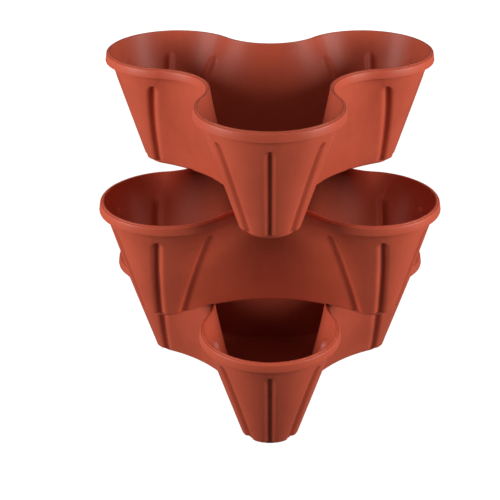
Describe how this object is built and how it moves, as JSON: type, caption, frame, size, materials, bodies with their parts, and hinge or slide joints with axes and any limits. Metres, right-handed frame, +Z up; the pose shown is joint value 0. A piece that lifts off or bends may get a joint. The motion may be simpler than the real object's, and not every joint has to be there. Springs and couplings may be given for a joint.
{
  "type": "vertical planter tower",
  "caption": "Stacking planter tower of identical three-lobed terracotta-coloured plastic pots, each turned half a sector so its lobes hang over the waists of the pot below.",
  "frame": {"origin": "on the floor under the tower's axis, which all the pots share, at the bottom pot's foot", "axes": "+Z up along the tower's axis; -Y is the front, along one lobe of the bottom and top pots; +X to the right seen from the front"},
  "size_m": [0.3428, 0.3738, 0.3555],
  "materials": {
    "bottom_pot": "satin, through-coloured terracotta",
    "middle_pot": "satin, through-coloured terracotta",
    "top_pot": "satin, through-coloured terracotta"
  },
  "bodies": {
    "bottom": {"bottom_pot": "bottom_pot"},
    "middle": {"middle_pot": "middle_pot"},
    "top": {"top_pot": "top_pot"}
  },
  "joints": [
    {"name": "middle_pot_lift", "type": "slide", "parent": "bottom", "child": "middle", "axis": [0, 0, 1], "range_m": [0, 0.13]},
    {"name": "top_pot_lift", "type": "slide", "parent": "middle", "child": "top", "axis": [0, 0, 1], "range_m": [0, 0.13]}
  ]
}
